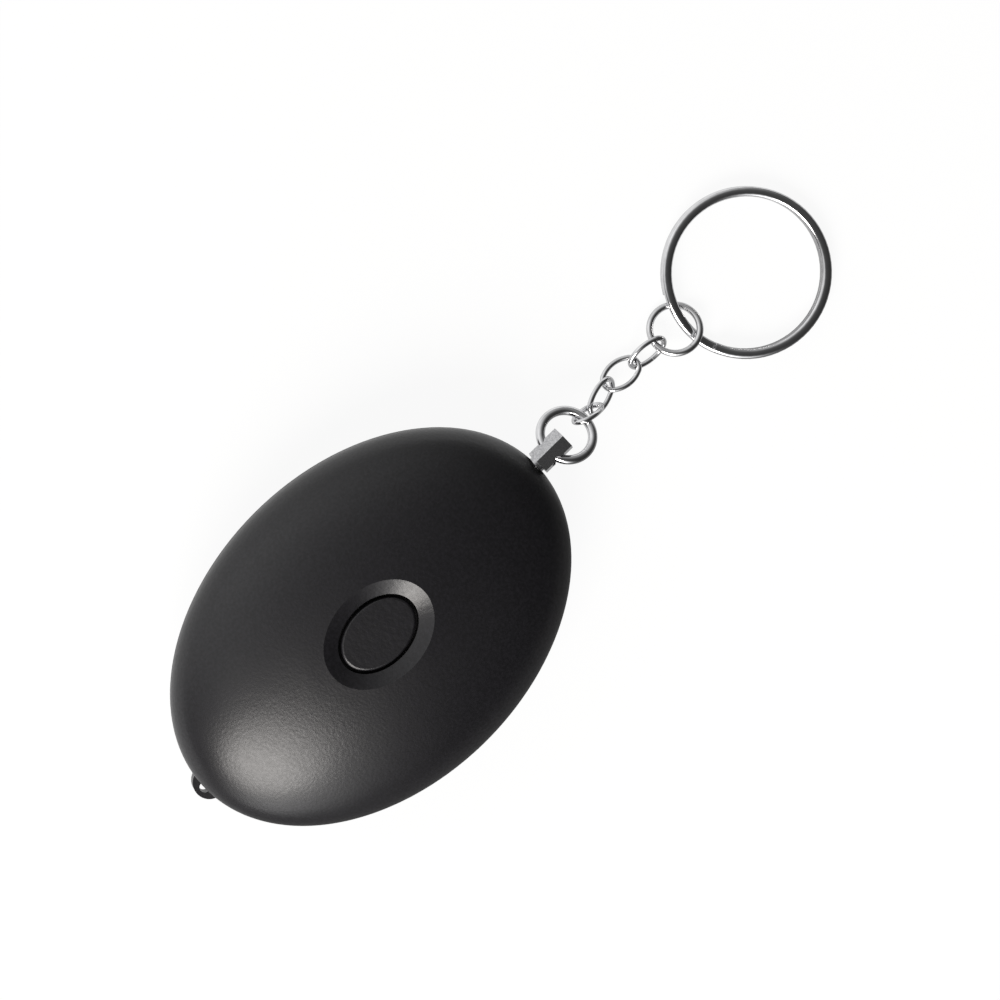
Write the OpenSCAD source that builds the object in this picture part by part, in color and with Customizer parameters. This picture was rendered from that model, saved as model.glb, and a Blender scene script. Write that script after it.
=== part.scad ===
// Personal safety alarm: an oval pocket siren that sounds when its pin is pulled out.
// Origin at the centre of the flat back, +Z towards the button, +Y towards the pull pin. Millimetres.

/* [Body] */
// Length of the oval body
body_length = 66; // [64:0.5:74]
// Width of the oval body
body_width = 46.8; // [46:0.2:54]
// Height of the parting plane above the flat back
parting_height = 10; // [9.8:0.1:11]
// Rise of the front dome above the parting plane
dome_height = 11; // [10.8:0.1:12.5]
// Depth at which the rear dome would close if the back weren't cut flat
rear_depth = 12.5; // [12:0.1:14]
// Wall of both shells
wall = 1.8; // [1.5:0.1:2]
// Height of the tongue that locates the front shell in the rear shell
tongue_height = 1.2; // [0.8:0.1:1.6]
// Clearance between tongue and rebate
tongue_clear = 0.1; // [0.05:0.01:0.15]
// Width of the shadow groove along the parting line
parting_groove = 0.3; // [0.2:0.05:0.5]

/* [Dish and button] */
// Length of the dish rim round the button
dish_length = 17.6; // [16.8:0.1:20]
// Width of the dish rim
dish_width = 13.7; // [13.2:0.1:16]
// Depth at which the dish's cone would come to a point
dish_cone_depth = 3.3; // [2.6:0.1:3.6]
// Length of the button's top
button_length = 12.2; // [11.6:0.1:12.8]
// Width of the button's top
button_width = 8.5; // [8:0.1:9]
// Gap round the button
button_gap = 0.45; // [0.3:0.05:0.5]
// How far the button's top lies below the dish rim
button_sink = 0.7; // [0.5:0.05:0.9]
// Rounding of the button's top edge
button_round = 0.4; // [0.3:0.05:0.6]
// Depth of the collar that guides the button, below the dish rim
collar_depth = 3.1; // [2.8:0.1:3.4]
// Wall of the collar
collar_wall = 1.1; // [0.9:0.1:1.4]
// Width of the button's retaining flange
flange_width = 1; // [0.8:0.1:1.1]
// Thickness of the retaining flange
flange_thick = 0.9; // [0.7:0.1:1.1]
// How far the button and the switch travel
button_travel = 0.5; // [0.3:0.05:0.5]

/* [Circuit] */
// Thickness of the circuit board
board_thick = 1.2; // [1:0.1:1.6]
// Width of the circuit board's oval
board_width = 35; // [33:0.5:37]
// Length of the oval that the circuit board is cut from
board_oval_length = 54; // [52:1:58]
// Room between the board's front edge and the tip of the pin
board_tip_room = 1.8; // [1.5:0.1:2.5]
// Edge of the board towards the cells
board_rear_y = -7.6; // [-7.8:0.1:-7]
// Side of the square tact switch
switch_side = 6; // [5.6:0.1:6.4]
// Height of the tact switch's body
switch_height = 3.5; // [3.2:0.1:3.8]
// Diameter of the switch plunger
plunger_d = 3.3; // [3:0.1:3.5]
// How far the plunger stands out of the switch
plunger_proud = 1; // [0.8:0.1:1.2]
// Diameter of the boost inductor
inductor_d = 7; // [6:0.1:7.4]
// Height of the boost inductor
inductor_height = 4.4; // [3.6:0.1:4.8]

/* [Siren] */
// Diameter of the brass piezo disc
piezo_d = 25; // [23:0.5:25.5]
// Thickness of the brass disc
piezo_thick = 0.3; // [0.2:0.05:0.4]
// Diameter of the ceramic on the disc
ceramic_d = 18; // [16:0.5:20]
// Centre of the siren along the body
siren_y = 9.2; // [9:0.1:9.6]
// Height of the ledge that carries the disc
ledge_height = 3.2; // [3:0.1:3.6]
// Diameter of each sound hole
sound_hole_d = 1.6; // [1.2:0.1:2]
// Spacing of the rings of sound holes
sound_hole_pitch = 3.2; // [2.8:0.1:3.6]

/* [Cells and door] */
// Diameter of a button cell
cell_d = 11.6; // [11.2:0.1:11.6]
// Thickness of a button cell
cell_thick = 5.4; // [5:0.1:5.4]
// Centre line of the cells along the body
cell_y = -14.5; // [-15:0.1:-14.4]
// Room between the cells and the door
cell_room = 0.5; // [0.4:0.1:0.8]
// Clearance round the battery door
door_clear = 0.15; // [0.1:0.05:0.25]
// Width of the battery door
door_width = 16.8; // [16.4:0.1:16.8]
// Length of the battery door without its tab
door_length = 12.2; // [11.8:0.1:12.4]
// Width of the door's screw tab
door_tab_width = 7.2; // [6:0.1:8]
// Thickness of contact strip
strip_thick = 0.3; // [0.2:0.05:0.4]

/* [Pull pin] */
// Diameter of the pin's round shank
pin_d = 2.5; // [2.2:0.1:2.6]
// Running clearance of the shank in its socket, on the radius
pin_clear = 0.05; // [0.03:0.01:0.08]
// Length of shank behind the head
shank_length = 14; // [13.5:0.1:14.5]
// Hexagon of the pin's head across its flats
head_flats = 3.5; // [3.4:0.1:3.8]
// Length of the head
head_length = 5.2; // [5:0.1:6]
// Gap between the body and the head
head_gap = 0.3; // [0.2:0.05:0.5]
// Roll of the head about the pin's axis
head_roll = 17; // [0:1:25]
// Outside diameter of the pin socket
socket_d = 5; // [4.6:0.1:5.2]
// Swing of the contact leaf when the pin has gone
leaf_swing = 6; // [4:0.5:6]

/* [Chain] */
// Outside diameter of the pin ring
pin_ring_d = 9; // [8.6:0.1:9.6]
// Wire of the pin ring
pin_ring_wire = 1.36; // [1.2:0.02:1.4]
// Outside length of a chain link
link_length = 6.7; // [6.6:0.05:7.2]
// Outside width of a chain link
link_width = 4.6; // [4.6:0.05:4.9]
// Wire of a chain link
link_wire = 0.8; // [0.7:0.02:0.8]
// Radius of a link's ends, at the middle of the wire
link_end_r = 1.5; // [1.45:0.01:1.6]
// Outside diameter of the jump ring
jump_ring_d = 8.3; // [8.2:0.1:8.6]
// Wire of the jump ring
jump_ring_wire = 1; // [0.9:0.02:1]
// Seam where a ring's bent wire closes
seam = 0.03; // [0.02:0.01:0.1]
// Outside diameter of the key ring
key_ring_d = 25; // [24:0.5:28]
// Width of the key ring's flat wire
key_wire_width = 1.5; // [1.3:0.05:1.6]
// Height of the key ring's flat wire
key_wire_height = 1.1; // [1:0.05:1.2]
// Rounding of the flat wire's corners
key_wire_round = 0.5; // [0.3:0.05:0.5]
// Gap between the two coils of the key ring
key_coil_gap = 0.15; // [0.1:0.01:0.2]
// Lift of the key ring's near side, where it rests on the jump ring
key_lift = 0.3; // [0.3:0.05:0.5]

/* [Cord eye] */
// Width of the moulded eye
eye_d = 4.8; // [4.4:0.1:5]
// Diameter of the eye's hole
eye_hole_d = 1.5; // [1.4:0.1:1.9]
// Thickness of the eye's outer edge
eye_rim = 0.7; // [0.6:0.05:0.9]
// How far the eye stands out past the body
eye_reach = 1.45; // [1.2:0.05:1.6]
// Height of the eye
eye_height = 3.4; // [3:0.1:3.6]

/* [Screws] */
// Shank diameter of a shell screw
shell_screw_d = 2; // [1.8:0.1:2.2]
// Head diameter of a shell screw
shell_screw_head_d = 3.8; // [3.4:0.1:4]
// Length of a shell screw below its head
shell_screw_length = 8; // [7:0.5:9]
// Shank diameter of the board and door screws
small_screw_d = 1.6; // [1.4:0.1:1.8]
// Head diameter of the board and door screws
small_screw_head_d = 3; // [2.8:0.1:3.2]
// Gap left round a screw's shank
screw_clear = 0.03; // [0.02:0.01:0.05]

/* [Hidden] */
$fn = 64;
fine = 96;
coarse = 32;
over = 1;
gap = 0.05;
case_colour = [0.08, 0.08, 0.085];
steel_colour = [0.78, 0.78, 0.8];
brass_colour = [0.8, 0.65, 0.3];

// Body
half_l = body_length / 2;
half_w = body_width / 2;
inner_l = half_l - wall;
inner_w = half_w - wall;
inner_dome = dome_height - wall;
inner_depth = rear_depth - wall;
huge = 2 * body_length;

// Heights of the dish, the button and the switch under it, from the top down
rim_z = parting_height + dome_height * sqrt(1 - pow(dish_length / body_length, 2));
button_top = rim_z - button_sink;
collar_z = rim_z - collar_depth;
collar_half_w = button_width / 2 + button_gap + collar_wall;
collar_half_l = button_length / 2 + button_gap + collar_wall;
flange_top = collar_z - 2 * gap;
flange_bottom = flange_top - flange_thick;
nub_height = 0.6;
nub_d = 3;
plunger_top = flange_bottom - nub_height - gap;
switch_top = plunger_top - plunger_proud;
board_top = switch_top - switch_height;
board_bottom = board_top - board_thick;
plunger_guide = 0.6;
plunger_hidden = button_travel + plunger_guide;
plunger_step = 0.3;
switch_bevel = 0.4;
switch_leg = [0.8, 0.7, 0.3];
switch_leg_pitch = 4.5;

// Pull pin and its socket, measured from the body's end
pin_z = parting_height;
pin_r = pin_d / 2;
bore_r = pin_r + pin_clear;
head_base = half_l + head_gap;
tip_y = head_base - shank_length;
tip_length = 1.2;
tip_r = pin_r * 0.4;
socket_r = socket_d / 2;
socket_length = 9;
socket_rear = half_l - socket_length;
socket_flange_r = socket_r + 0.9;
socket_flange_depth = 5.8;
socket_flange_thick = 1.2;
socket_flange_y = half_l - socket_flange_depth;
saddle_thick = 1.4;
saddle_front = socket_flange_y - 4 * gap;
saddle_rear = saddle_front - saddle_thick;
saddle_half_w = 5.5;

// Siren
siren_wall = 0.7;
siren_seat_r = piezo_d / 2 + 2 * gap;
siren_rim = 0.7;
ledge_width = 1.2;
ceramic_thick = 0.25;
lead_r = 0.45;
red_lead = [5, -5.4];
black_lead = [-4.5, -10];

// Pieces on the board: places, then sizes
board_front_y = tip_y - board_tip_room;
chip_place = [-7, board_front_y - 7.5];
chip_size = [3.9, 4.9, 1.6];
chip_leg_pitch = 1.27;
transistor_place = [-8, board_front_y - 13.9];
transistor_size = [1.6, 2.9, 1.2];
transistor_leg_pitch = 1.9;
package_leg = [1.2, 0.4, 0.7];
package_leg_root = 0.2;
package_standoff = 0.2;
inductor_place = [6.2, board_front_y - 6.7];
inductor_flange = 0.8;
inductor_waist = 0.5;
inductor_crown = 0.2;
capacitor_edge = 6.3;
capacitor_place = [board_width / 2 - capacitor_edge, -2.6];
capacitor_base = 4.3;
capacitor_base_height = 0.8;
capacitor_d = 4;
capacitor_height = 3.8;
resistor_place = [-9.6, -3.6];
resistor_count = 3;
resistor_pitch = 1.5;
resistor_size = [0.8, 1.6, 0.5];

// Switch that the pin holds open, under the board's front edge
leaf_setback = 7.5;
leaf_root_y = board_front_y - leaf_setback;
leaf_x = pin_r + 0.08;
leaf_overlap = 0.5;
leaf_end = tip_y + tip_length + leaf_overlap;
leaf_height = 2.2;
leaf_top = board_bottom - 2 * gap;
leaf_foot = [2.4, 2];
leaf_heel = 1.2;
fixed_setback = 0.7;
fixed_length = 1.8;
fixed_front_y = board_front_y - fixed_setback;
fixed_rear_y = fixed_front_y - fixed_length;
fixed_thick = 0.4;
fixed_foot = 2.4;
fixed_x = leaf_x - (fixed_front_y - leaf_root_y) * tan(leaf_swing) - gap;

// Cells, their contacts and the door
cell_count = 3;
cell_crimp = 0.3;
cell_shoulder = 0.6;
stack_half = cell_count * cell_thick / 2;
cell_z = wall + cell_room + cell_d / 2;
cradle_thick = 1.2;
cradle_half_l = cell_d / 2 - 0.4;
cradle_top = parting_height - 0.5;
spring_room = 2;
contact_plate_length = 7;
contact_arm_z = board_top + gap;
contact_arm_height = 1.6;
contact_arm_lap = 2.4;
door_rear_y = cell_y - door_length / 2;
door_front_y = cell_y + door_length / 2;
door_screw_y = door_front_y + 2.3;
door_tab_length = 5;
door_tab_thick = wall / 2;
door_corner = 0.6;
door_boss_r = small_screw_d / 2 + 1.4;
door_boss_top = 6.5;
door_screw_length = 5;
hook_width = 6;
hook_reach = 1.2;
hook_root = 1.2;
hook_thick = 0.8;
hook_end_y = door_rear_y - door_clear - hook_reach;

// Screws: three that close the shells, clear of the siren, the board and the door's hook, then the board's two
shell_post_r = shell_screw_d / 2 + 1.3;
shell_boss_r = shell_screw_head_d / 2 + 0.8;
shell_head_room = 0.2;
shell_seat_z = 5.6;
shell_head_height = 1.4;
shell_screw_x = 10.5;
shell_post_room = 1.7;
siren_clear_r = siren_seat_r + siren_wall + shell_boss_r + 3 * gap;
shell_screw_y = max(board_front_y + shell_post_r + shell_post_room,
    siren_y + sqrt(pow(siren_clear_r, 2) - pow(shell_screw_x, 2)));
shell_screw_places = [[-shell_screw_x, shell_screw_y], [shell_screw_x, shell_screw_y],
    [0, hook_end_y - shell_boss_r - shell_post_room]];
screw_tip_room = 0.4;
board_screw_places = [[-13, 4], [13, 4]];
board_post_r = small_screw_d / 2 + 1.4;
small_head_height = 1;
board_screw_length = 5;
driver_slot = 0.5;

// Chain: half length and half width at the middle of the wire, end radius, wire radius, then yaw towards +X,
// pitch downwards, roll that lifts the +X side, and slack left in the join with the piece before
pin_ring_r = (pin_ring_d - pin_ring_wire) / 2;
jump_ring_r = (jump_ring_d - jump_ring_wire) / 2;
link_half_l = (link_length - link_wire) / 2;
link_half_w = (link_width - link_wire) / 2;
link_shape = [link_half_l, link_half_w, link_end_r, link_wire / 2];
CHAIN = [
    [pin_ring_r, pin_ring_r, pin_ring_r, pin_ring_wire / 2, 3, 21, head_roll, 0.15],
    concat(link_shape, [8, 53, 73, 0.34]),
    concat(link_shape, [-8, 23, -44, 0.5]),
    concat(link_shape, [7, 4, 20, 0.39]),
    concat(link_shape, [4, -6, -46, 0.2]),
    [jump_ring_r, jump_ring_r, jump_ring_r, jump_ring_wire / 2, 4, 8, 19, 0.4]
];
pin_hole_y = head_base + head_length * 0.46;
pin_hole_centre = [0, pin_hole_y, pin_z];
hole_spread = pin_ring_r - sqrt(pow(pin_ring_r, 2) - pow(head_flats / 2, 2));
pin_hole_r = pin_ring_wire / 2 + hole_spread + 2 * gap;

function chain_axis(i) = let (yaw = CHAIN[i][4], pitch = CHAIN[i][5])
    [sin(yaw) * cos(pitch), cos(yaw) * cos(pitch), -sin(pitch)];
function chain_level(i) = [cos(CHAIN[i][4]), -sin(CHAIN[i][4]), 0];
function chain_across(i) = cos(CHAIN[i][6]) * chain_level(i)
    + sin(CHAIN[i][6]) * cross(chain_level(i), chain_axis(i));
function chain_overlap(i) = CHAIN[i][7] + (i == 0 ? 0 : CHAIN[i - 1][3] + CHAIN[i][3]);
function chain_start(i) = i == 0 ? pin_hole_centre
    : chain_centre(i - 1) + chain_axis(i - 1) * CHAIN[i - 1][0];
function chain_centre(i) = chain_start(i) + chain_axis(i) * (CHAIN[i][0] - chain_overlap(i));

// Key ring: two coils of flat wire joined by a ramp that faces the chain
key_r = (key_ring_d - key_wire_width) / 2;
key_rise = key_wire_height + key_coil_gap;
key_yaw = 2;
key_side = 0.9;
key_slack = 2.2;
key_tilt = asin(key_lift / key_ring_d);
key_ramp = [-27, 25];
key_step = 5;
key_corner_steps = 3;
key_join = chain_start(len(CHAIN));
key_centre = [key_join[0] + key_side + sin(key_yaw) * (key_r - key_slack),
    key_join[1] + cos(key_yaw) * (key_r - key_slack), sin(key_tilt) * key_ring_d / 2];

// Cord eye
eye_y = -half_l - eye_reach + eye_d / 2;
eye_hole_y = -half_l - eye_reach + eye_rim + eye_hole_d / 2;
eye_drop = 0.8;
eye_z = parting_height - tongue_height - eye_drop - eye_height;

module ellipsoid(rx, ry, rz) {
    translate([0, 0, parting_height])
        scale([rx, ry, rz])
            sphere(r = 1, $fn = fine);
}

module oval_column(rx, ry, z0, z1) {
    translate([0, 0, z0])
        scale([rx, ry, 1])
            cylinder(r = 1, h = z1 - z0, $fn = fine);
}

module slab(z0, z1) {
    translate([-huge / 2, -huge / 2, z0])
        cube([huge, huge, z1 - z0]);
}

module along_y(r, y0, y1) {
    translate([0, y0, pin_z])
        rotate([-90, 0, 0])
            cylinder(r = r, h = y1 - y0);
}

module rounded_box_2d(w, l, r) {
    square([w - 2 * r, l], center = true);
    square([w, l - 2 * r], center = true);
    for (x = [-1, 1], y = [-1, 1])
        translate([x * (w / 2 - r), y * (l / 2 - r)])
            circle(r = r);
}

module cross_slot(d, depth) {
    for (turn = [0, 90])
        rotate([0, 0, turn])
            translate([-d / 2, -driver_slot / 2, -over])
                cube([d, driver_slot, depth + over]);
}

// Half a saddle plate that clamps the pin socket, between two heights
module socket_saddle(z0, z1) {
    translate([-saddle_half_w, saddle_rear, z0])
        cube([2 * saddle_half_w, saddle_thick, z1 - z0]);
}

module front_shell() {
    color(case_colour)
        difference() {
            union() {
                difference() {
                    ellipsoid(half_w, half_l, dome_height);
                    ellipsoid(inner_w, inner_l, inner_dome);
                    slab(-huge, parting_height);
                }
                front_inside();
                front_tongue();
            }
            dish_cut();
            oval_column(button_width / 2 + button_gap, button_length / 2 + button_gap, collar_z - over,
                rim_z + over);
            along_y(socket_r + gap, saddle_rear - over, half_l + over);
            for (p = shell_screw_places)
                translate([p[0], p[1], shell_seat_z])
                    cylinder(r = shell_screw_d / 2 + screw_clear, h = shell_screw_length + screw_tip_room);
            for (p = board_screw_places)
                translate([p[0], p[1], board_bottom])
                    cylinder(r = small_screw_d / 2 + screw_clear, h = board_screw_length + screw_tip_room);
            groove_cut();
        }
}

// Posts, button collar and socket saddle, trimmed to the middle of the dome's wall
module front_inside() {
    intersection() {
        ellipsoid(half_w - wall / 2, half_l - wall / 2, dome_height - wall / 2);
        union() {
            for (p = shell_screw_places)
                translate([p[0], p[1], parting_height + gap])
                    cylinder(r = shell_post_r, h = dome_height);
            for (p = board_screw_places)
                translate([p[0], p[1], board_top])
                    cylinder(r = board_post_r, h = dome_height);
            oval_column(collar_half_w, collar_half_l, collar_z, rim_z);
            socket_saddle(parting_height + gap, parting_height + dome_height);
        }
    }
}

module front_tongue() {
    tongue_out = wall / 2 + tongue_clear;
    difference() {
        oval_column(half_w - tongue_out, half_l - tongue_out, parting_height - tongue_height,
            parting_height + wall / 3);
        oval_column(inner_w, inner_l, parting_height - tongue_height - over, parting_height + over);
    }
}

module dish_cut() {
    top = rim_z + over;
    bottom = rim_z - dish_cone_depth / 2;
    translate([0, 0, bottom])
        scale([dish_width / 2, dish_length / 2, 1])
            cylinder(r1 = 1 / 2, r2 = 1 + over / dish_cone_depth, h = top - bottom, $fn = fine);
}

module groove_cut() {
    difference() {
        oval_column(half_w + over, half_l + over, parting_height - gap, parting_height + parting_groove);
        oval_column(half_w - parting_groove, half_l - parting_groove, parting_height - over,
            parting_height + over);
    }
}

module rear_solid() {
    intersection() {
        ellipsoid(half_w, half_l, rear_depth);
        slab(0, parting_height);
    }
}

module rear_hollow() {
    intersection() {
        ellipsoid(inner_w, inner_l, inner_depth);
        slab(wall, parting_height + over);
    }
}

module rear_shell() {
    color(case_colour)
        difference() {
            union() {
                difference() {
                    rear_solid();
                    rear_hollow();
                }
                intersection() {
                    rear_hollow();
                    rear_inside();
                }
                translate([0, eye_y, eye_z])
                    cylinder(r = eye_d / 2, h = eye_height);
            }
            oval_column(half_w - wall / 2, half_l - wall / 2, parting_height - tongue_height - 2 * gap,
                parting_height + over);
            along_y(socket_r + gap, saddle_rear - over, half_l + over);
            translate([0, eye_hole_y, -over])
                cylinder(r = eye_hole_d / 2, h = eye_z + eye_height + over);
            for (p = shell_screw_places)
                translate([p[0], p[1], 0]) {
                    translate([0, 0, -over])
                        cylinder(r = shell_screw_head_d / 2 + shell_head_room, h = shell_seat_z + over);
                    cylinder(r = shell_screw_d / 2 + 4 * screw_clear, h = parting_height + over);
                }
            siren_pocket();
            sound_holes();
            door_opening();
        }
}

// Screw bosses, siren seat, cell cradle and socket saddle on the rear shell's floor
module rear_inside() {
    for (p = shell_screw_places)
        translate([p[0], p[1], 0])
            cylinder(r = shell_boss_r, h = parting_height - gap);
    translate([0, siren_y, 0])
        difference() {
            cylinder(r = siren_seat_r + siren_wall, h = ledge_height + siren_rim, $fn = fine);
            cylinder(r = piezo_d / 2 - ledge_width, h = ledge_height + over, $fn = fine);
        }
    for (x = [stack_half + strip_thick + 4 * gap, -stack_half - spring_room - cradle_thick])
        translate([x, cell_y - cradle_half_l, 0])
            cube([cradle_thick, 2 * cradle_half_l, cradle_top]);
    translate([0, door_screw_y, 0])
        cylinder(r = door_boss_r, h = door_boss_top);
    socket_saddle(0, parting_height - gap);
}

// Room for the siren's disc above its ledge
module siren_pocket() {
    translate([0, siren_y, ledge_height])
        cylinder(r = siren_seat_r, h = siren_rim, $fn = fine);
}

module sound_holes() {
    translate([0, siren_y, -over])
        for (ring = [0:2], i = [0:max(6 * ring, 1) - 1])
            rotate([0, 0, i * 360 / max(6 * ring, 1)])
                translate([ring * sound_hole_pitch, 0, 0])
                    cylinder(r = sound_hole_d / 2, h = wall + 2 * over, $fn = coarse);
}

// Outline of the door, grown by the clearance round it
module door_outline(grow) {
    translate([0, cell_y])
        rounded_box_2d(door_width + 2 * grow, door_length + 2 * grow, door_corner);
}

module door_tab_outline(grow) {
    translate([0, door_front_y + door_tab_length / 2 - door_corner])
        rounded_box_2d(door_tab_width + 2 * grow, door_tab_length + 2 * grow, door_corner);
}

module door_opening() {
    translate([0, 0, -over])
        linear_extrude(height = parting_height)
            door_outline(door_clear);
    translate([0, 0, -over])
        linear_extrude(height = door_tab_thick + gap + over)
            door_tab_outline(door_clear);
    translate([0, door_screw_y, 0])
        cylinder(r = small_screw_d / 2 + screw_clear, h = door_boss_top + over);
}

module battery_door() {
    color(case_colour)
        difference() {
            union() {
                intersection() {
                    difference() {
                        rear_solid();
                        rear_hollow();
                    }
                    translate([0, 0, -over])
                        linear_extrude(height = parting_height)
                            door_outline(0);
                }
                linear_extrude(height = door_tab_thick)
                    door_tab_outline(0);
                door_hook();
            }
            translate([0, door_screw_y, -over])
                cylinder(r = small_screw_d / 2 + 4 * screw_clear, h = wall + 2 * over);
            translate([0, door_screw_y, 0])
                cylinder(r1 = small_screw_head_d / 2 + 2 * gap, r2 = small_screw_d / 2,
                    h = door_tab_thick + gap);
        }
}

// Height of the rear shell's inner surface
function floor_z(x, y) = max(wall, parting_height
    - inner_depth * sqrt(1 - pow(x / inner_w, 2) - pow(y / inner_l, 2)));

// The hook inside the shell that holds the door's far edge
module door_hook() {
    seat_z = floor_z(0, hook_end_y) + 4 * gap;
    root_y = door_rear_y + hook_root;
    translate([-hook_width / 2, hook_end_y, seat_z])
        cube([hook_width, root_y - hook_end_y, hook_thick]);
    translate([-hook_width / 2, door_rear_y + gap, floor_z(0, root_y) - wall / 2])
        cube([hook_width, root_y - door_rear_y - gap, seat_z + hook_thick - floor_z(0, root_y) + wall / 2]);
}

module battery_door_screw() {
    color(steel_colour)
        translate([0, door_screw_y, 2 * gap])
            difference() {
                union() {
                    cylinder(r1 = small_screw_head_d / 2, r2 = small_screw_d / 2 - gap,
                        h = door_tab_thick - 2 * gap);
                    cylinder(r = small_screw_d / 2, h = door_screw_length);
                }
                cross_slot(small_screw_head_d * 0.7, door_tab_thick * 0.6);
            }
}

module shell_screws() {
    color(steel_colour)
        for (p = shell_screw_places)
            translate([p[0], p[1], shell_seat_z - shell_head_height])
                difference() {
                    union() {
                        cylinder(r = shell_screw_head_d / 2, h = shell_head_height);
                        cylinder(r = shell_screw_d / 2, h = shell_head_height + shell_screw_length);
                    }
                    cross_slot(shell_screw_head_d * 0.7, shell_head_height * 0.6);
                }
}

// Quarter-round edge on the outline that is revolved for the button
module button_half_2d() {
    side = 1 - button_round / (button_length / 2);
    square([side, button_top - flange_top]);
    square([1, button_top - button_round - flange_top]);
    translate([side, button_top - button_round - flange_top])
        scale([1 - side, button_round])
            circle(r = 1);
}

module button_cap() {
    color(case_colour) {
        translate([0, 0, flange_top])
            scale([button_width / 2, button_length / 2, 1])
                rotate_extrude($fn = fine)
                    intersection() {
                        button_half_2d();
                        square([1, button_top]);
                    }
        oval_column(button_width / 2 + flange_width, button_length / 2 + flange_width,
            flange_bottom, flange_top);
        translate([0, 0, flange_bottom - nub_height])
            cylinder(r = nub_d / 2, h = nub_height + gap);
    }
}

module circuit_board() {
    color([0.1, 0.35, 0.18])
        difference() {
            intersection() {
                oval_column(board_width / 2, board_oval_length / 2, board_bottom, board_top);
                translate([-huge / 2, board_rear_y, 0])
                    cube([huge, board_front_y - board_rear_y, huge]);
            }
            for (p = board_screw_places)
                translate([p[0], p[1], board_bottom - over])
                    cylinder(r = small_screw_d / 2 + 4 * screw_clear, h = board_thick + 2 * over);
        }
}

module board_screws() {
    color(steel_colour)
        for (p = board_screw_places)
            translate([p[0], p[1], board_bottom - small_head_height])
                difference() {
                    union() {
                        cylinder(r = small_screw_head_d / 2, h = small_head_height);
                        cylinder(r = small_screw_d / 2, h = small_head_height + board_screw_length);
                    }
                    cross_slot(small_screw_head_d * 0.7, small_head_height * 0.6);
                }
}

module switch_body() {
    color([0.15, 0.15, 0.16])
        difference() {
            union() {
                translate([-switch_side / 2, -switch_side / 2, board_top])
                    cube([switch_side, switch_side, switch_height - switch_bevel]);
                translate([0, 0, board_top])
                    linear_extrude(height = switch_height)
                        rounded_box_2d(switch_side - switch_bevel, switch_side - switch_bevel, switch_bevel);
                for (x = [-1, 1], y = [-1, 1])
                    translate([x * switch_side / 2, y * switch_leg_pitch / 2, board_top + switch_leg[2] / 2])
                        cube(switch_leg, center = true);
            }
            translate([0, 0, switch_top - plunger_hidden - 2 * gap])
                cylinder(r = plunger_d / 2 + gap, h = plunger_hidden + over);
        }
}

module switch_plunger() {
    rise = plunger_top - switch_top + plunger_hidden - button_travel;
    color([0.2, 0.2, 0.22])
        translate([0, 0, plunger_top - rise]) {
            cylinder(r = plunger_d / 2, h = rise - plunger_step);
            cylinder(r = plunger_d / 2 - plunger_step, h = rise);
        }
}

// A moulded package with rows of legs on its two long sides
module legged_package(size, legs, pitch) {
    leg_x = (size[0] + package_leg[0]) / 2 - package_leg_root;
    translate([0, 0, (size[2] + package_standoff) / 2])
        cube([size[0], size[1], size[2] - package_standoff], center = true);
    for (side = [-1, 1], i = [0:legs - 1])
        translate([side * leg_x, (i - (legs - 1) / 2) * pitch, package_leg[2] / 2])
            cube(package_leg, center = true);
}

module controller_chip() {
    color([0.12, 0.12, 0.13])
        translate([chip_place[0], chip_place[1], board_top])
            legged_package(chip_size, 4, chip_leg_pitch);
}

module drive_transistor() {
    color([0.12, 0.12, 0.13])
        translate([transistor_place[0], transistor_place[1], board_top])
            legged_package(transistor_size, 2, transistor_leg_pitch);
}

module boost_inductor() {
    color([0.25, 0.22, 0.2])
        translate([inductor_place[0], inductor_place[1], board_top]) {
            cylinder(r = inductor_d / 2, h = inductor_flange);
            cylinder(r = inductor_d / 2 - inductor_waist, h = inductor_height - inductor_crown);
            translate([0, 0, inductor_height - inductor_flange])
                cylinder(r = inductor_d / 2, h = inductor_flange);
        }
}

module filter_capacitor() {
    color([0.7, 0.7, 0.72])
        translate([capacitor_place[0], capacitor_place[1], board_top]) {
            translate([0, 0, capacitor_base_height / 2])
                cube([capacitor_base, capacitor_base, capacitor_base_height], center = true);
            cylinder(r = capacitor_d / 2, h = capacitor_height);
        }
}

module chip_resistors() {
    color([0.1, 0.1, 0.1])
        for (i = [0:resistor_count - 1])
            translate([resistor_place[0] + resistor_pitch * i, resistor_place[1], board_top])
                translate([0, 0, resistor_size[2] / 2])
                    cube(resistor_size, center = true);
}

module piezo_disc() {
    color(brass_colour)
        translate([0, siren_y, ledge_height])
            cylinder(r = piezo_d / 2, h = piezo_thick, $fn = fine);
}

module piezo_ceramic() {
    color([0.85, 0.83, 0.78])
        translate([0, siren_y, ledge_height + piezo_thick])
            cylinder(r = ceramic_d / 2, h = ceramic_thick, $fn = fine);
}

// A lead that lies on the disc, loops outwards and comes up under the board
module piezo_lead(place, low) {
    turn_r = (board_bottom - low - 2 * gap) / 2 - lead_r;
    translate([place[0], siren_y + place[1], low + gap + lead_r + turn_r])
        rotate([90, 0, 0])
            rotate([0, 0, place[0] > 0 ? -90 : 90])
                rotate_extrude(angle = 180)
                    translate([turn_r, 0])
                        circle(r = lead_r, $fn = coarse);
}

module piezo_lead_red() {
    color([0.7, 0.08, 0.06])
        piezo_lead(red_lead, ledge_height + piezo_thick + ceramic_thick);
}

module piezo_lead_black() {
    color([0.08, 0.08, 0.08])
        piezo_lead(black_lead, ledge_height + piezo_thick);
}

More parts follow.
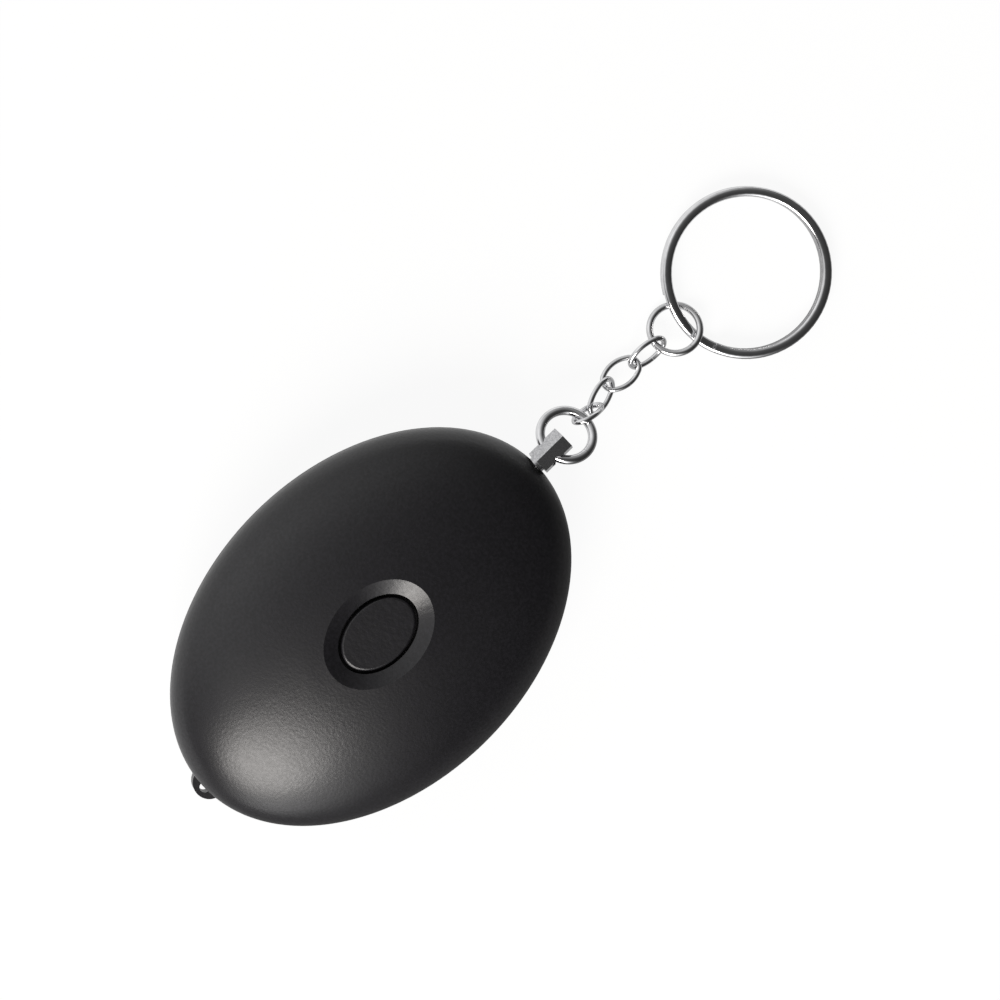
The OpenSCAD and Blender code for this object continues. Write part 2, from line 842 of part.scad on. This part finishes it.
module button_cells() {
    color(steel_colour)
        for (i = [0:cell_count - 1])
            translate([-stack_half + i * cell_thick + gap / 2, cell_y, cell_z])
                rotate([0, 90, 0]) {
                    cylinder(r = cell_d / 2 - cell_crimp - cell_shoulder, h = cell_thick - gap);
                    translate([0, 0, cell_crimp])
                        cylinder(r = cell_d / 2, h = cell_thick - cell_crimp - gap);
                }
}

// A flat contact in the cradle, with an arm that stands on the board
module contact_plate() {
    foot_z = floor_z(stack_half + spring_room, cell_y - contact_plate_length / 2) + 4 * gap;
    translate([0, cell_y - contact_plate_length / 2, foot_z])
        cube([strip_thick, contact_plate_length, contact_arm_z + contact_arm_height - foot_z]);
    translate([0, cell_y, contact_arm_z])
        cube([strip_thick, board_rear_y + contact_arm_lap - cell_y, contact_arm_height]);
}

module battery_contact_positive() {
    color(steel_colour)
        translate([stack_half + gap, 0, 0])
            contact_plate();
}

// The negative contact has a sprung tongue bent out of its plate
module battery_contact_negative() {
    tongue_w = 3.4;
    run = 6;
    reach = spring_room - strip_thick - 3 * gap;
    color(steel_colour)
        translate([-stack_half - spring_room + gap, 0, 0]) {
            contact_plate();
            translate([0, cell_y + tongue_w / 2, cell_z - run / 2])
                rotate([90, 0, 0])
                    linear_extrude(height = tongue_w)
                        polygon([[0, 0], [strip_thick, 0], [strip_thick + reach, run / 2],
                            [strip_thick, run], [0, run], [0, run - strip_thick],
                            [reach, run / 2], [0, strip_thick]]);
        }
}

// The socket's outer end follows the body's surface
module pin_socket() {
    color([0.05, 0.05, 0.05])
        difference() {
            union() {
                intersection() {
                    along_y(socket_r, socket_rear, half_l);
                    ellipsoid(half_w, half_l, dome_height);
                }
                along_y(socket_flange_r, socket_flange_y, socket_flange_y + socket_flange_thick);
            }
            along_y(bore_r, socket_rear - over, half_l + over);
        }
}

module fixed_contact() {
    color(brass_colour) {
        translate([fixed_x - fixed_thick, fixed_rear_y, leaf_top - leaf_height])
            cube([fixed_thick, fixed_length, board_bottom - leaf_top + leaf_height]);
        translate([fixed_x - fixed_foot, fixed_rear_y, board_bottom - fixed_thick])
            cube([fixed_foot, fixed_length, fixed_thick]);
    }
}

module contact_leaf() {
    color(brass_colour) {
        translate([leaf_x, leaf_root_y, leaf_top - leaf_height])
            cube([strip_thick, leaf_end - leaf_root_y, leaf_height]);
        translate([leaf_x, leaf_root_y - leaf_foot[1] / 2, leaf_top - strip_thick])
            cube([leaf_foot[0], leaf_foot[1], strip_thick]);
        translate([leaf_x, leaf_root_y - leaf_foot[1] / 2, leaf_top - leaf_height])
            cube([strip_thick, leaf_heel, leaf_height]);
    }
}

module pull_pin() {
    tip_end = tip_y + tip_length;
    color(steel_colour)
        difference() {
            union() {
                translate([0, head_base, pin_z])
                    rotate([0, -head_roll, 0])
                        rotate([-90, 0, 0])
                            rotate([0, 0, 30])
                                cylinder(r = head_flats / 2 / cos(30), h = head_length, $fn = 6);
                along_y(pin_r, tip_end, head_base + gap);
                translate([0, tip_y, pin_z])
                    rotate([-90, 0, 0])
                        cylinder(r1 = tip_r, r2 = pin_r, h = tip_length);
            }
            translate(pin_hole_centre)
                rotate([0, 90 - head_roll, 0])
                    cylinder(r = pin_hole_r, h = 2 * head_flats, center = true);
        }
}

// Places a piece of the chain: long axis along local X, width along local Y
module in_chain(i) {
    a = chain_axis(i);
    w = chain_across(i);
    n = cross(a, w);
    c = chain_centre(i);
    multmatrix([[a[0], w[0], n[0], c[0]], [a[1], w[1], n[1], c[1]], [a[2], w[2], n[2], c[2]], [0, 0, 0, 1]])
        children();
}

module wire_arc(r, wire_r, from, sweep) {
    rotate([0, 0, from])
        rotate_extrude(angle = sweep, $fn = fine)
            translate([r, 0])
                circle(r = wire_r, $fn = coarse);
}

// A round ring of bent wire with a closed seam on one side
module wire_ring(i) {
    half_seam = asin(seam / 2 / CHAIN[i][0]);
    color(steel_colour)
        in_chain(i)
            wire_arc(CHAIN[i][0], CHAIN[i][3], 90 + half_seam, 360 - 2 * half_seam);
}

// An oval link of four tangent arcs, with its seam in the middle of one side. The sides are drawn a trace
// thinner and run a little way into the ends.
module oval_link(i) {
    shape = CHAIN[i];
    end_r = shape[2];
    side_wire = shape[3] - 0.02;
    run_in = 2;
    end_x = shape[0] - end_r;
    side_r = (pow(end_x, 2) + pow(shape[1], 2) - pow(end_r, 2)) / (2 * (shape[1] - end_r));
    side_y = side_r - shape[1];
    side_half = atan2(end_x, side_y);
    half_seam = asin(seam / 2 / side_r);
    color(steel_colour)
        in_chain(i) {
            translate([0, -side_y, 0]) {
                wire_arc(side_r, side_wire, 90 - side_half - run_in, side_half + run_in - half_seam);
                wire_arc(side_r, side_wire, 90 + half_seam, side_half + run_in - half_seam);
            }
            translate([0, side_y, 0])
                wire_arc(side_r, side_wire, 270 - side_half - run_in, 2 * (side_half + run_in));
            translate([end_x, 0, 0])
                wire_arc(end_r, shape[3], side_half - 90, 180 - 2 * side_half);
            translate([-end_x, 0, 0])
                wire_arc(end_r, shape[3], 90 + side_half, 180 - 2 * side_half);
        }
}

module pin_ring() {
    wire_ring(0);
}

module chain_link_1() {
    oval_link(1);
}

module chain_link_2() {
    oval_link(2);
}

module chain_link_3() {
    oval_link(3);
}

module chain_link_4() {
    oval_link(4);
}

module jump_ring() {
    wire_ring(5);
}

// Height of the wire's lower face along the ring: upper coil, ramp, lower coil
function key_level(turn) = let (f = min(max((turn - 360 - key_ramp[0]) / (key_ramp[1] - key_ramp[0]), 0), 1))
    key_rise * (1 - f * f * (3 - 2 * f));

// The flat wire's section with its corners rounded, as radius and height
function key_section() = let (r = key_wire_round, w = key_wire_width / 2 - r, top = key_wire_height - r)
    [for (corner = [[w, r, -90], [w, top, 0], [-w, top, 90], [-w, r, 180]], i = [0:key_corner_steps])
        let (turn = corner[2] + 90 * i / key_corner_steps)
        [corner[0] + r * cos(turn), corner[1] + r * sin(turn)]];

module key_ring() {
    section = key_section();
    sides = len(section);
    first = key_ramp[1];
    last = 720 + key_ramp[0];
    steps = ceil((last - first) / key_step);
    turns = [for (i = [0:steps]) first + (last - first) * i / steps];
    points = [for (t = turns, p = section)
        [(key_r + p[0]) * sin(t), -(key_r + p[0]) * cos(t), p[1] + key_level(t)]];
    walls = [for (i = [0:steps - 1], j = [0:sides - 1])
        let (k = (j + 1) % sides, lo = i * sides, hi = lo + sides)
        each [[lo + j, lo + k, hi + k], [lo + j, hi + k, hi + j]]];
    start_cap = [for (j = [1:sides - 2]) [0, j + 1, j]];
    end = steps * sides;
    end_cap = [for (j = [1:sides - 2]) [end, end + j, end + j + 1]];
    color(steel_colour)
        translate(key_centre)
            rotate([0, 0, -key_yaw])
                rotate([-key_tilt, 0, 0])
                    polyhedron(points = points, faces = concat(walls, start_cap, end_cap));
}

front_shell();
rear_shell();
battery_door();
battery_door_screw();
shell_screws();
button_cap();
circuit_board();
board_screws();
switch_body();
switch_plunger();
controller_chip();
boost_inductor();
drive_transistor();
filter_capacitor();
chip_resistors();
piezo_disc();
piezo_ceramic();
piezo_lead_red();
piezo_lead_black();
button_cells();
battery_contact_positive();
battery_contact_negative();
pin_socket();
fixed_contact();
contact_leaf();
pull_pin();
pin_ring();
chain_link_1();
chain_link_2();
chain_link_3();
chain_link_4();
jump_ring();
key_ring();
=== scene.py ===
import math

import bpy
from mathutils import Matrix, Vector

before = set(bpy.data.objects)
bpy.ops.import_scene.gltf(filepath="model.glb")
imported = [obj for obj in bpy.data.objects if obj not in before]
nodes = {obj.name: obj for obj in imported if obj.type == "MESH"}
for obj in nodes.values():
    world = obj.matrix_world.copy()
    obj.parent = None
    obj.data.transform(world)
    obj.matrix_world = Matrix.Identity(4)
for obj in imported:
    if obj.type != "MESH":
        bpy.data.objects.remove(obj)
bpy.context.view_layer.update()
scene = bpy.context.scene
scene.view_settings.view_transform = "Standard"

# Camera: the photograph looks down on the body, tilted towards its left side, with the pin to the
# upper right
TILT = math.radians(8.5)
DISTANCE = 0.790
PARTING = 0.010
PIXELS_PER_METRE = 7013.0
BODY_PIXEL = (371.23, 626.78)
PIN_DIRECTION = (0.7140, 0.7001)
IMAGE = 1000.0
SENSOR = 36.0
CLIP_START = 0.01
CLIP_END = 20


def make_camera():
    """Puts the body's middle, at the parting line, on its pixel in the photograph."""
    ray = Vector((math.sin(TILT), 0, -math.cos(TILT)))
    across = Vector((math.cos(TILT), 0, math.sin(TILT)))
    along = Vector((0, 1, 0))
    right = across * PIN_DIRECTION[1] + along * PIN_DIRECTION[0]
    up = along * PIN_DIRECTION[1] - across * PIN_DIRECTION[0]
    focal = DISTANCE * PIXELS_PER_METRE
    off_x = (BODY_PIXEL[0] - IMAGE / 2) / focal
    off_y = (BODY_PIXEL[1] - IMAGE / 2) / focal
    axis = (ray - right * off_x + up * off_y).normalized()
    right = (right - axis * right.dot(axis)).normalized()
    up = right.cross(axis)
    data = bpy.data.cameras.new("photo_view")
    data.sensor_width = SENSOR
    data.lens = focal / math.sqrt(1 + off_x**2 + off_y**2) / IMAGE * SENSOR
    data.clip_start = CLIP_START
    data.clip_end = CLIP_END
    camera = bpy.data.objects.new("photo_view", data)
    turn = Matrix((right, up, -axis)).transposed().to_4x4()
    place = Vector((0, 0, PARTING)) - ray * DISTANCE
    camera.matrix_world = Matrix.Translation(place) @ turn
    scene.collection.objects.link(camera)
    scene.camera = camera


make_camera()


def empty_tree(owner):
    """Gives a material or a world a node tree with nothing in it."""
    owner.use_nodes = True
    owner.node_tree.nodes.clear()
    return owner.node_tree


def noise(tree, scale, detail, gain):
    """Adds a noise in the object's own coordinates."""
    coords = tree.nodes.new("ShaderNodeTexCoord")
    node = tree.nodes.new("ShaderNodeTexNoise")
    node.inputs["Scale"].default_value = scale
    node.inputs["Detail"].default_value = detail
    node.inputs["Roughness"].default_value = gain
    tree.links.new(coords.outputs["Object"], node.inputs["Vector"])
    return node.outputs["Fac"]


def arithmetic(tree, operation, *values):
    """Adds a math node over numbers and other nodes' outputs."""
    node = tree.nodes.new("ShaderNodeMath")
    node.operation = operation
    for socket, value in zip(node.inputs, values):
        if isinstance(value, (int, float)):
            socket.default_value = value
        else:
            tree.links.new(value, socket)
    return node.outputs[0]


def spread(tree, value, low, high, to_low, to_high):
    """Maps a value from one range to another."""
    node = tree.nodes.new("ShaderNodeMapRange")
    node.inputs["From Min"].default_value = low
    node.inputs["From Max"].default_value = high
    node.inputs["To Min"].default_value = to_low
    node.inputs["To Max"].default_value = to_high
    tree.links.new(value, node.inputs["Value"])
    return node.outputs["Result"]


def tint(tree, value, places, colours):
    """Maps a value to a colour between two colours."""
    node = tree.nodes.new("ShaderNodeValToRGB")
    for element, place, colour in zip(node.color_ramp.elements, places, colours):
        element.position = place
        element.color = (*colour, 1)
    tree.links.new(value, node.inputs["Fac"])
    return node.outputs["Color"]


def bump(tree, value, depth):
    """Turns a value into a relief of the given depth."""
    node = tree.nodes.new("ShaderNodeBump")
    node.inputs["Distance"].default_value = depth
    tree.links.new(value, node.inputs["Height"])
    return node.outputs["Normal"]


def new_material(name):
    material = bpy.data.materials.new(name)
    tree = empty_tree(material)
    out = tree.nodes.new("ShaderNodeOutputMaterial")
    shader = tree.nodes.new("ShaderNodeBsdfPrincipled")
    tree.links.new(shader.outputs[0], out.inputs[0])
    return material, tree, shader


# Moulded plastic: one fine grain gives its colour, gloss and relief, and broad patches change the
# gloss a little. The pairs are the noise values between which colour or gloss changes.
GRAIN_DETAIL = 3
GRAIN_GAIN = 0.5
GRAIN_TINT = (0.35, 0.7)
GRAIN_GLOSS = (0.3, 0.7)
GRAIN_CHANGE = 0.03
PATCH_SCALE = 90
PATCH_DETAIL = 4
PATCH_GAIN = 0.5
PATCH_GLOSS = (0.35, 0.65)
PATCH_CHANGE = 0.02


def plastic(name, dark, light, rough, grain_scale, grain_depth):
    material, tree, shader = new_material(name)
    patches = noise(tree, PATCH_SCALE, PATCH_DETAIL, PATCH_GAIN)
    broad = spread(tree, patches, *PATCH_GLOSS, -PATCH_CHANGE, PATCH_CHANGE)
    grain = noise(tree, grain_scale, GRAIN_DETAIL, GRAIN_GAIN)
    fine = spread(tree, grain, *GRAIN_GLOSS, rough + GRAIN_CHANGE, rough - GRAIN_CHANGE)
    colour = tint(tree, grain, GRAIN_TINT, (dark, light))
    tree.links.new(colour, shader.inputs["Base Color"])
    tree.links.new(arithmetic(tree, "ADD", fine, broad), shader.inputs["Roughness"])
    tree.links.new(bump(tree, grain, grain_depth), shader.inputs["Normal"])
    return material


# Metal: a mottle gives its colour and gloss, and very fine scratches its relief
MOTTLE_DETAIL = 3
MOTTLE_GAIN = 0.55
MOTTLE_TINT = (0.35, 0.65)
MOTTLE_GLOSS = (0.3, 0.7)
SCRATCH_SCALE = 2600
SCRATCH_DETAIL = 2
SCRATCH_GAIN = 0.5


def metal(name, dark, light, rough, rough_change, mottle_scale, scratch_depth):
    material, tree, shader = new_material(name)
    shader.inputs["Metallic"].default_value = 1.0
    mottle = noise(tree, mottle_scale, MOTTLE_DETAIL, MOTTLE_GAIN)
    scratches = noise(tree, SCRATCH_SCALE, SCRATCH_DETAIL, SCRATCH_GAIN)
    colour = tint(tree, mottle, MOTTLE_TINT, (dark, light))
    gloss = spread(tree, mottle, *MOTTLE_GLOSS, rough + rough_change, rough - rough_change / 2)
    tree.links.new(colour, shader.inputs["Base Color"])
    tree.links.new(gloss, shader.inputs["Roughness"])
    tree.links.new(bump(tree, scratches, scratch_depth), shader.inputs["Normal"])
    return material


def paint(material, names):
    for name in names:
        slots = nodes[name].data.materials
        for i in range(len(slots)):
            slots[i] = material


# Plastics and the like: name, darkest and lightest colour, roughness, grains per metre, depth of
# the grain in metres, and the nodes
CASE_DARK = (0.0066, 0.0063, 0.0076)
CASE_LIGHT = (0.0136, 0.013, 0.0154)
PLASTICS = [
    ("case_black", CASE_DARK, CASE_LIGHT, 0.336, 2200, 0.00002,
     ["front_shell", "rear_shell", "battery_door"]),
    ("button_black", CASE_DARK, CASE_LIGHT, 0.34, 1500, 0.00004,
     ["button_cap"]),
    ("socket_black", (0.006, 0.006, 0.006), (0.012, 0.012, 0.012), 0.4, 3000, 0.00001,
     ["pin_socket"]),
    ("board_mask", (0.012, 0.075, 0.03), (0.03, 0.14, 0.06), 0.35, 700, 0.000006,
     ["circuit_board"]),
    ("package_black", (0.01, 0.01, 0.01), (0.022, 0.022, 0.023), 0.5, 3000, 0.000008,
     ["switch_body", "controller_chip", "drive_transistor", "chip_resistors"]),
    ("plunger_grey", (0.05, 0.05, 0.05), (0.08, 0.08, 0.08), 0.45, 3000, 0.000006,
     ["switch_plunger"]),
    ("ferrite", (0.03, 0.025, 0.02), (0.08, 0.06, 0.045), 0.55, 1500, 0.00002,
     ["boost_inductor"]),
    ("ceramic_silver", (0.5, 0.48, 0.44), (0.68, 0.66, 0.6), 0.5, 1500, 0.000006,
     ["piezo_ceramic"]),
    ("lead_red", (0.3, 0.015, 0.01), (0.45, 0.03, 0.02), 0.4, 1500, 0.000006,
     ["piezo_lead_red"]),
    ("lead_black", (0.01, 0.01, 0.01), (0.02, 0.02, 0.02), 0.4, 1500, 0.000006,
     ["piezo_lead_black"]),
]

# Metals: name, darkest and lightest colour, roughness and its change, mottles per metre, depth of
# the scratches in metres, and the nodes
METALS = [
    ("screw_zinc", (0.5, 0.5, 0.5), (0.68, 0.68, 0.7), 0.32, 0.06, 900, 0.000004,
     ["battery_door_screw", "shell_screws", "board_screws"]),
    ("cell_steel", (0.66, 0.66, 0.68), (0.8, 0.8, 0.82), 0.22, 0.06, 400, 0.000003,
     ["button_cells"]),
    ("strip_nickel", (0.58, 0.56, 0.52), (0.72, 0.7, 0.66), 0.3, 0.06, 700, 0.000003,
     ["battery_contact_positive", "battery_contact_negative"]),
    ("spring_brass", (0.58, 0.4, 0.14), (0.78, 0.58, 0.26), 0.28, 0.06, 600, 0.000003,
     ["fixed_contact", "contact_leaf"]),
    ("disc_brass", (0.62, 0.45, 0.18), (0.8, 0.6, 0.3), 0.3, 0.06, 500, 0.000003,
     ["piezo_disc"]),
    ("capacitor_can", (0.64, 0.64, 0.66), (0.78, 0.78, 0.8), 0.3, 0.06, 600, 0.000003,
     ["filter_capacitor"]),
    ("pin_satin", (0.4, 0.4, 0.41), (0.62, 0.62, 0.63), 0.2, 0.04, 3800, 0.000006,
     ["pull_pin"]),
    ("chain_plate", (0.62, 0.62, 0.63), (0.74, 0.74, 0.75), 0.1, 0.05, 500, 0.0000015,
     ["pin_ring", "chain_link_1", "chain_link_2", "chain_link_3", "chain_link_4", "jump_ring",
      "key_ring"]),
]

for *recipe, names in PLASTICS:
    paint(plastic(*recipe), names)
for *recipe, names in METALS:
    paint(metal(*recipe), names)


# The key ring's wire is a coil of facets in the source, and a drawn wire has none
WELD = 0.000001
SHARP = math.radians(50)


def smooth_wire(wire):
    """Shades a faceted wire smoothly, except at the sharp edges of its ends."""
    group = bpy.data.node_groups.new("smooth_wire", "GeometryNodeTree")
    for side in ("INPUT", "OUTPUT"):
        group.interface.new_socket("Geometry", in_out=side, socket_type="NodeSocketGeometry")
    start = group.nodes.new("NodeGroupInput")
    weld = group.nodes.new("GeometryNodeMergeByDistance")
    weld.inputs["Distance"].default_value = WELD
    bare = group.nodes.new("GeometryNodeRemoveAttribute")
    bare.inputs["Name"].default_value = "custom_normal"
    faces = group.nodes.new("GeometryNodeSetShadeSmooth")
    edges = group.nodes.new("GeometryNodeSetShadeSmooth")
    edges.domain = "EDGE"
    angle = group.nodes.new("GeometryNodeInputMeshEdgeAngle")
    soft = group.nodes.new("FunctionNodeCompare")
    soft.operation = "LESS_THAN"
    soft.inputs["B"].default_value = SHARP
    group.links.new(angle.outputs["Unsigned Angle"], soft.inputs["A"])
    group.links.new(soft.outputs["Result"], edges.inputs["Shade Smooth"])
    end = group.nodes.new("NodeGroupOutput")
    chain = [start, weld, bare, faces, edges, end]
    for one, two in zip(chain, chain[1:]):
        group.links.new(one.outputs[0], two.inputs[0])
    wire.modifiers.new("smooth_wire", "NODES").node_group = group


smooth_wire(nodes["key_ring"])


# Floor: white to the camera. In the metal and the plastic its glow is white on the left and fades
# to a painted shade on the right, as the photograph's reflections are.
FLOOR_REACH = 4.0
FLOOR_DROP = 0.00005
FLOOR_GREY = 0.08
FLOOR_GLOW = 0.92
SHADE_START = -0.012
SHADE_END = 0.018
SHADE_LEVEL = 0.12


def make_floor():
    mesh = bpy.data.meshes.new("floor")
    square = ((-1, -1), (1, -1), (1, 1), (-1, 1))
    corners = [(x * FLOOR_REACH, y * FLOOR_REACH, 0) for x, y in square]
    mesh.from_pydata(corners, [], [(0, 1, 2, 3)])
    floor = bpy.data.objects.new("floor", mesh)
    floor.location.z = -FLOOR_DROP
    scene.collection.objects.link(floor)
    material = bpy.data.materials.new("floor_white")
    tree = empty_tree(material)
    out = tree.nodes.new("ShaderNodeOutputMaterial")
    diffuse = tree.nodes.new("ShaderNodeBsdfDiffuse")
    diffuse.inputs["Color"].default_value = (FLOOR_GREY, FLOOR_GREY, FLOOR_GREY, 1)
    glow = tree.nodes.new("ShaderNodeEmission")
    path = tree.nodes.new("ShaderNodeLightPath").outputs
    coords = tree.nodes.new("ShaderNodeTexCoord")
    place = tree.nodes.new("ShaderNodeSeparateXYZ")
    tree.links.new(coords.outputs["Object"], place.inputs[0])
    # painted shade: the floor's glow seen in reflections drops from white on the left to a dim
    # level on the right
    shade = spread(tree, place.outputs["X"], SHADE_START, SHADE_END, 1.0, SHADE_LEVEL)
    mirrored = arithmetic(tree, "MAXIMUM", path["Is Glossy Ray"], path["Is Transmission Ray"])
    seen = arithmetic(tree, "MULTIPLY_ADD", mirrored, shade, path["Is Camera Ray"])
    tree.links.new(arithmetic(tree, "MULTIPLY", seen, FLOOR_GLOW), glow.inputs["Strength"])
    add = tree.nodes.new("ShaderNodeAddShader")
    tree.links.new(diffuse.outputs[0], add.inputs[0])
    tree.links.new(glow.outputs[0], add.inputs[1])
    tree.links.new(add.outputs[0], out.inputs[0])
    mesh.materials.append(material)


# Surroundings: white to the camera, and to the object a dim sky with soft lights, each given by its
# direction, narrowness and level
SKY_WHITE = 1.0
SKY_LEVEL = 0.04
SKY_LIGHTS = [
    ((-0.88, -0.32, 0.34), 5.0, 1.07),
    ((-0.78, 0.45, 0.42), 6.0, 0.47),
    ((-0.329, -0.47, 0.819), 24.0, 0.52),
    ((0.448, -0.497, 0.743), 32.0, 0.8),
    ((0.641, -0.641, 0.423), 24.0, 2.1),
    ((0.543, -0.837, 0.07), 40.0, 3.5),
]


def make_world():
    world = bpy.data.worlds.new("studio")
    scene.world = world
    tree = empty_tree(world)
    out = tree.nodes.new("ShaderNodeOutputWorld")
    background = tree.nodes.new("ShaderNodeBackground")
    background.inputs["Color"].default_value = (1, 1, 1, 1)
    coords = tree.nodes.new("ShaderNodeTexCoord")
    sky = SKY_LEVEL
    for direction, narrow, level in SKY_LIGHTS:
        towards = tree.nodes.new("ShaderNodeVectorMath")
        towards.operation = "DOT_PRODUCT"
        towards.inputs[1].default_value = Vector(direction).normalized()
        tree.links.new(coords.outputs["Generated"], towards.inputs[0])
        off = arithmetic(tree, "MULTIPLY_ADD", towards.outputs["Value"], narrow, -narrow)
        sky = arithmetic(tree, "MULTIPLY_ADD", arithmetic(tree, "EXPONENT", off), level, sky)
    path = tree.nodes.new("ShaderNodeLightPath")
    mix = tree.nodes.new("ShaderNodeMix")
    tree.links.new(path.outputs["Is Camera Ray"], mix.inputs["Factor"])
    tree.links.new(sky, mix.inputs["A"])
    mix.inputs["B"].default_value = SKY_WHITE
    tree.links.new(mix.outputs["Result"], background.inputs["Strength"])
    tree.links.new(background.outputs[0], out.inputs[0])


# Lamp: a round softbox towards the lower left of the photograph, for the dome's broad highlight
LAMP_DIRECTION = (0.262, -0.683, 0.682)
LAMP_DISTANCE = 0.9
LAMP_SIZE = 0.585
LAMP_POWER = 9.5
LAMP_COLOUR = (1, 0.965, 0.93)


def make_lamp():
    data = bpy.data.lights.new("softbox", "AREA")
    data.shape = "DISK"
    data.size = LAMP_SIZE
    data.energy = LAMP_POWER
    data.color = LAMP_COLOUR
    lamp = bpy.data.objects.new("softbox", data)
    towards = Vector(LAMP_DIRECTION).normalized()
    lamp.location = towards * LAMP_DISTANCE
    lamp.rotation_euler = towards.to_track_quat("Z", "Y").to_euler()
    scene.collection.objects.link(lamp)


make_floor()
make_world()
make_lamp()
